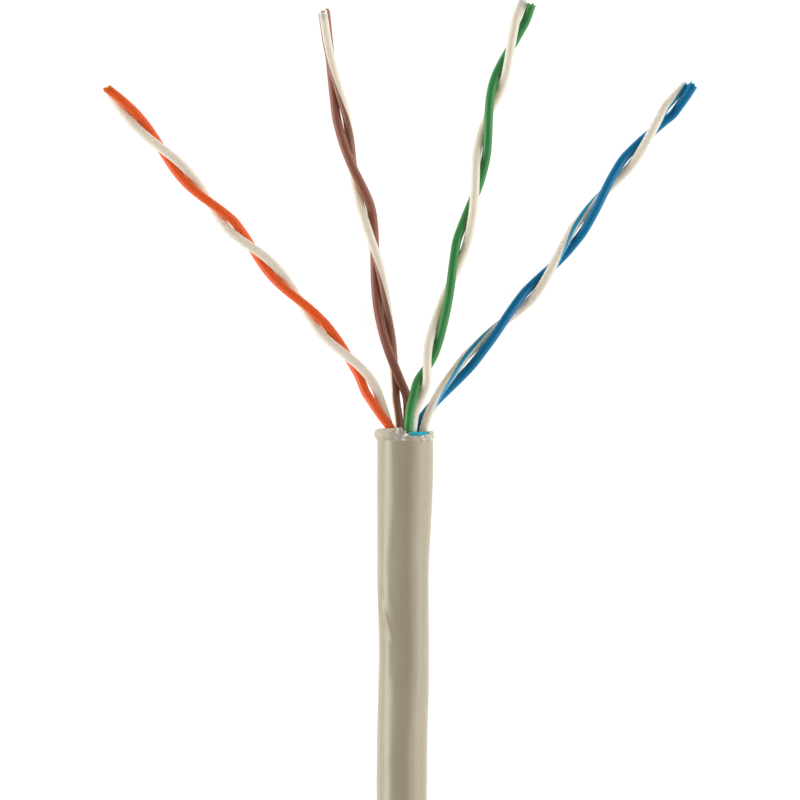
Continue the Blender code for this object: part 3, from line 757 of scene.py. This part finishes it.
def ragged_edge(seed):
    """How far a cut end stands out at each angle: a slant, small steps and two thin spikes."""
    draw = random.Random(seed)
    lean = draw.uniform(-0.1, 0.1)
    spikes = [(draw.uniform(0.0, 2 * math.pi), draw.uniform(0.12, 0.3)) for _ in range(2)]

    def reach(angle):
        rough = 0.1 * noise.noise(Vector((math.cos(angle) * 2.2, math.sin(angle) * 2.2, seed * 1.7)))
        tall = sum(h * math.exp(-((math.remainder(angle - at, 2 * math.pi) / 0.24) ** 2)) for at, h in spikes)
        return lean * math.cos(angle + seed) + rough + tall

    return reach


def build_wire(name, coat, course, pair, mate, looks, tracer=None):
    """One conductor: insulation with a ragged cut end, and the copper just inside it."""
    reach, seed = TIPS[name]
    length = float(course[2][-1])
    stations = wire_line(course, pair, mate, 0.0, length + min(reach, 0.0), WIRE_STEP)
    centre, outward, across, forward = stations[-1]
    end = (centre + forward * max(reach, TIP_OVERHANG), outward, across, forward)
    ragged = ragged_edge(seed)
    rings = [wire_ring(station, INSULATION_RADIUS, WIRE_SIDES) for station in stations]
    rings.append(wire_ring(end, INSULATION_RADIUS * 0.985, WIRE_SIDES, ragged))
    rings.append(wire_ring(end, INSULATION_RADIUS * 0.9, WIRE_SIDES, ragged))
    rings.append(wire_ring(end, CORE_RADIUS * 1.15, WIRE_SIDES, lambda a: ragged(a) * 0.3 - 0.05))
    rings.append(wire_ring((end[0] - forward * 0.6, *end[1:]), CORE_RADIUS * 1.04, WIRE_SIDES))
    points, faces = skin(rings)
    slots = [0] * len(faces)
    coats = [looks[coat]]
    if tracer is not None:
        coats.append(looks[f"{tracer}_tracer"])
        half = TRACER_HALF_FACES[tracer]
        for n in range(len(stations)):
            for k in range(-half, half):
                slots[n * WIRE_SIDES + k % WIRE_SIDES] = 1
    cover = add_mesh(f"{name}_insulation", points, faces, coats, slots)
    core_rings = [wire_ring(station, CORE_RADIUS, CORE_SIDES) for station in stations[:-1:4]]
    for back, scale in CORE_SETBACKS:
        core_rings.append(wire_ring((end[0] - forward * back, *end[1:]), CORE_RADIUS * scale, CORE_SIDES))
    core = add_mesh(f"{name}_copper", *skin(core_rings), [looks["copper"]])
    hinge = next(station[0] for station in stations if station[0].y > HINGE_Y)
    for piece, kind in ((cover, "insulation"), (core, "core")):
        start = to_frame((hinge.x, HINGE_Y - BLEND_REACH, hinge.z))
        stop = to_frame((hinge.x, HINGE_Y + BLEND_REACH, hinge.z))
        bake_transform(piece)
        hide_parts(f"{name}_inside_{kind}", f"{name}_tail_{kind}")


def build_pairs(looks):
    """The eight conductors, each coloured one with its white mate."""
    for colour, pair in PAIRS.items():
        course = pair_course(pair)
        build_wire(f"{colour}_wire", colour, course, pair, 0, looks)
        build_wire(f"white_{colour}_wire", "white", course, pair, 1, looks, colour)


# ---------------------------------------------------------------- film, strands and straps

FILM_SIDES = 180
FILM_THICKNESS = 0.035
FILM_SHORT = -0.9           # where the film ends round most of the mouth
FILM_STANDS = 0.93          # how much further it comes at the upper right
# Shares of the film's length at which it has rings, closer together where it is crumpled
FILM_SHARES = [
    0.0, 0.5, 0.8, 0.88, 0.91, 0.93, 0.94, 0.95, 0.96, 0.968, 0.976, 0.983, 0.989, 0.994, 0.997, 1.0,
]
STRAND_SEAT = 2.1           # from the cable's axis to the drain wire and the ripcord
STRAND_SIDES = 12
STRAND_RINGS = 60
PLY_LAY = 1.6


def film_edge(angle):
    """Where the film is cut: it stands out of the torn upper right of the lip, and is short elsewhere."""
    degrees = (math.degrees(angle) + 90.0) % 360.0 - 90.0
    shows = ease((degrees + 9.0) / 14.0) * ease((94.0 - degrees) / 14.0)
    crumple = 0.09 * noise.noise(Vector((math.cos(angle) * 7, math.sin(angle) * 7, 2.0)))
    return FILM_SHORT + FILM_STANDS * shows + crumple


def film_radius(angle, y):
    """The film follows the bore, opens with the lip on the right, and is crinkled where it was torn."""
    near = ease((y + 2.2) / 2.2)
    opens = 0.24 * near * max(0.0, math.cos(angle)) ** 1.5
    spot = Vector((math.cos(angle) * 5, y * 1.8, math.sin(angle) * 5))
    crinkle = 0.05 * noise.noise(spot) + 0.035 * (0.4 - abs(noise.noise(spot * 2.1)))
    return bore_radius(y) - 0.06 + opens + near * (crinkle - 0.04)


def build_film(looks):
    """The screen: thin film, blue outside and bright metal inside, crumpled where it is torn."""
    rings = []
    for thickness, order in ((0.0, FILM_SHARES), (FILM_THICKNESS, FILM_SHARES[::-1])):
        for share in order:
            ring = []
            for k in range(FILM_SIDES):
                a = 2 * math.pi * k / FILM_SIDES
                y = -SLEEVE_DEPTH + (film_edge(a) + SLEEVE_DEPTH) * share
                r = film_radius(a, y) - thickness
                across = sheath_x(y) + r * math.cos(a)
                ring.append(Vector((across, y, MOUTH_AXIS_HEIGHT + r * math.sin(a))))
            rings.append(ring)
    points, faces = skin(rings, False, False)
    last = (len(rings) - 1) * FILM_SIDES
    faces += [(last + k, last + (k + 1) % FILM_SIDES, (k + 1) % FILM_SIDES, k) for k in range(FILM_SIDES)]
    outside = len(FILM_SHARES) * FILM_SIDES
    slots = [0] * outside + [1] * (len(faces) - outside)
    film = add_mesh("foil_film", points, faces, [looks["film"], looks["silver"]], slots, 50.0)
    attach(film, "root")
    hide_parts("foil_screen")


def build_strand(name, node, seat, radius, end, look, plies):
    """A strand between the pairs and the film: solid, or of twisted plies."""
    for ply in range(plies):
        rings = []
        for y in np.linspace(-SLEEVE_DEPTH, end, STRAND_RINGS):
            centre = Vector(quad_point(seat, STRAND_SEAT, y))
            if plies > 1:
                turn = 2 * math.pi * (y / PLY_LAY + ply / plies)
                centre += Vector((math.cos(turn), 0.0, math.sin(turn))) * radius * 0.5
            size = radius * (0.52 if plies > 1 else 1.0)
            rings.append([
                centre + Vector((math.cos(a), 0.0, math.sin(a))) * size
                for a in (2 * math.pi * k / STRAND_SIDES for k in range(STRAND_SIDES))
            ])
        piece = add_mesh(f"{name}_{ply}" if plies > 1 else name, *skin(rings), [look])
        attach(piece, "root")
        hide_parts(node)


def section_hull(extra):
    """Outline round the stacked turns of the coil, as radius and height, standing off by an extra."""
    circle = [(math.cos(a), math.sin(a)) for a in (2 * math.pi * k / 40 for k in range(40))]
    size = COIL_CABLE_RADIUS + 0.06 + extra
    cloud = [Vector((r + c * size, max(h + s * size, RESTING))) for r, h in coil_turns() for c, s in circle]
    order = geometry.convex_hull_2d(cloud)
    return [cloud[n] for n in order]


def even_outline(outline, count):
    """The same closed outline with evenly spaced points, starting from its innermost."""
    start = min(range(len(outline)), key=lambda n: outline[n].x)
    loop = outline[start:] + outline[:start] + [outline[start]]
    lengths = np.concatenate([[0.0], np.cumsum([(b - a).length for a, b in zip(loop, loop[1:])])])
    at = np.linspace(0.0, lengths[-1], count, endpoint=False)
    xs = np.interp(at, lengths, [p.x for p in loop])
    ys = np.interp(at, lengths, [p.y for p in loop])
    return [Vector((x, y)) for x, y in zip(xs, ys)]


def build_strap(name, degrees, look):
    """A hook-and-loop strap pulled tight round the coil, its end lapped over on the outside."""
    angle = math.radians(degrees)
    outward = Vector((math.cos(angle), math.sin(angle), 0.0))
    sideways = Vector((-math.sin(angle), math.cos(angle), 0.0))
    inner, outer, lap = (
        even_outline(section_hull(STRAP_THICKNESS * factor), STRAP_POINTS)
        for factor in (0.0, 1.0, STRAP_LAP_FACTOR)
    )
    half = STRAP_WIDTH / 2
    shoulder = half - STRAP_EDGE_SIDE

    def place(spot, aside):
        """A point of the coil's section, set aside along the cable."""
        return COIL_CENTRE + outward * spot.x + sideways * aside + Vector((0.0, 0.0, spot.y))

    def band(near, far, first, last, close):
        """Webbing between two outlines, with its long edges rounded."""
        rings = []
        for n in range(first, last):
            a, b = near[n], far[n]
            low = a.lerp(b, STRAP_EDGE)
            high = a.lerp(b, 1 - STRAP_EDGE)
            rings.append([
                place(a, -shoulder), place(low, -half), place(high, -half), place(b, -shoulder),
                place(b, shoulder), place(high, half), place(low, half), place(a, shoulder),
            ])
        if not close:
            return skin(rings)
        points, faces = skin(rings, False, False)
        top = (len(rings) - 1) * 8
        faces += [(top + k, top + (k + 1) % 8, (k + 1) % 8, k) for k in range(8)]
        return points, faces

    lap_first, lap_last = (round(STRAP_POINTS * share) for share in STRAP_LAP)
    for piece_name, shape in (
        (name, band(inner, outer, 0, STRAP_POINTS, True)),
        (f"{name}_lap", band(outer, lap, lap_first, lap_last, False)),
    ):
        piece = add_mesh(piece_name + "_webbing", *shape, [look])
        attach(piece, "root")
        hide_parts(name)
        yield piece


# ---------------------------------------------------------------- stage, lights and camera

VIEW_WIDTH = 84.0           # of the picture, at the cable, in millimetres
VIEW_MIDDLE = (-0.53, 3.36)
VIEW_PLANE = 2.0            # height at which that width holds
CAMERA_HEIGHT = 0.62        # in metres
SENSOR = 36.0
FLOOR_REACH = 3.0           # in metres
FLOOR_DROP = 0.00005        # clear of what lies on it
FLOOR_GREY = 0.3
FLOOR_GLOW = 0.9            # hides the shadows, as on a light table
WORLD_GREY = 0.9
WORLD_STRENGTH = 0.18
CARD_AIM = (0.0, 5.0, 2.0)
# Soft cards: heading and elevation in degrees, distance, size along the floor and upright, and power
CARDS = {
    "left_card": (180.0, 16.0, 0.5, (0.36, 0.25), 1.85),
    "right_low_card": (0.0, 13.0, 0.6, (0.7, 0.28), 1.75),
    "right_high_card": (0.0, 40.0, 0.6, (0.7, 0.36), 1.35),
}


def side_light(name, aim, heading, elevation, distance, size, power):
    """A soft card at a heading and an elevation seen from the aim, facing it."""
    turn, rise = math.radians(heading), math.radians(elevation)
    way = Vector((math.cos(turn) * math.cos(rise), math.sin(turn) * math.cos(rise), math.sin(rise)))
    light = bpy.data.lights.new(name, "AREA")
    light.shape = "RECTANGLE"
    light.size, light.size_y = size
    light.energy = power
    lamp = bpy.data.objects.new(name, light)
    lamp.location = aim + way * distance
    lamp.rotation_euler = (-way).to_track_quat("-Z", "Y").to_euler()
    bpy.context.scene.collection.objects.link(lamp)


def build_stage():
    """A pale floor bright enough to show no shadow, soft light from both sides, and a camera overhead."""
    mesh = bpy.data.meshes.new("floor")
    corners = [(x * FLOOR_REACH, y * FLOOR_REACH, 0.0) for x, y in ((-1, -1), (1, -1), (1, 1), (-1, 1))]
    mesh.from_pydata(corners, [], [(0, 1, 2, 3)])
    floor = bpy.data.objects.new("floor", mesh)
    floor.location.z = -FLOOR_DROP
    bpy.context.scene.collection.objects.link(floor)
    look = bpy.data.materials.new("pale_floor")
    look.use_nodes = True
    shader = look.node_tree.nodes["Principled BSDF"]
    shader.inputs["Base Color"].default_value = (FLOOR_GREY, FLOOR_GREY, FLOOR_GREY, 1.0)
    shader.inputs["Roughness"].default_value = 0.9
    shader.inputs["Emission Color"].default_value = (1.0, 1.0, 1.0, 1.0)
    shader.inputs["Emission Strength"].default_value = FLOOR_GLOW
    mesh.materials.append(look)

    world = bpy.data.worlds.new("studio")
    world.use_nodes = True
    background = world.node_tree.nodes["Background"]
    background.inputs["Color"].default_value = (WORLD_GREY, WORLD_GREY, WORLD_GREY, 1.0)
    background.inputs["Strength"].default_value = WORLD_STRENGTH
    bpy.context.scene.world = world

    for card, settings in CARDS.items():
        side_light(card, to_frame(CARD_AIM), *settings)

    camera = bpy.data.cameras.new("camera")
    camera.sensor_width = SENSOR
    camera.lens = SENSOR * (CAMERA_HEIGHT - VIEW_PLANE * MM) / (VIEW_WIDTH * MM)
    camera.clip_start, camera.clip_end = 0.01, 20.0
    viewer = bpy.data.objects.new("camera", camera)
    viewer.location = to_frame((*VIEW_MIDDLE, 0.0)) + Vector((0.0, 0.0, CAMERA_HEIGHT))
    bpy.context.scene.collection.objects.link(viewer)
    bpy.context.scene.camera = viewer
    bpy.context.scene.view_settings.view_transform = "Standard"


build_stage()
LOOKS = make_looks()
cable, route = build_cable(LOOKS)
build_flakes(LOOKS)
build_pairs(LOOKS)
build_film(LOOKS)
build_strand("drain_strand", "drain_wire", 115.0, 0.2, 0.2, LOOKS["tinned"], 1)
build_strand("ripcord_ply", "ripcord", 295.0, 0.15, -0.3, LOOKS["nylon"], 3)
on_cable = build_far_end(LOOKS, route)
for strap_name, strap_angle in STRAP_ANGLES.items():
    on_cable += list(build_strap(strap_name, strap_angle, LOOKS["strap"]))
tuple(to_frame(route[0]))
[tuple(to_frame(p)) for p in route]
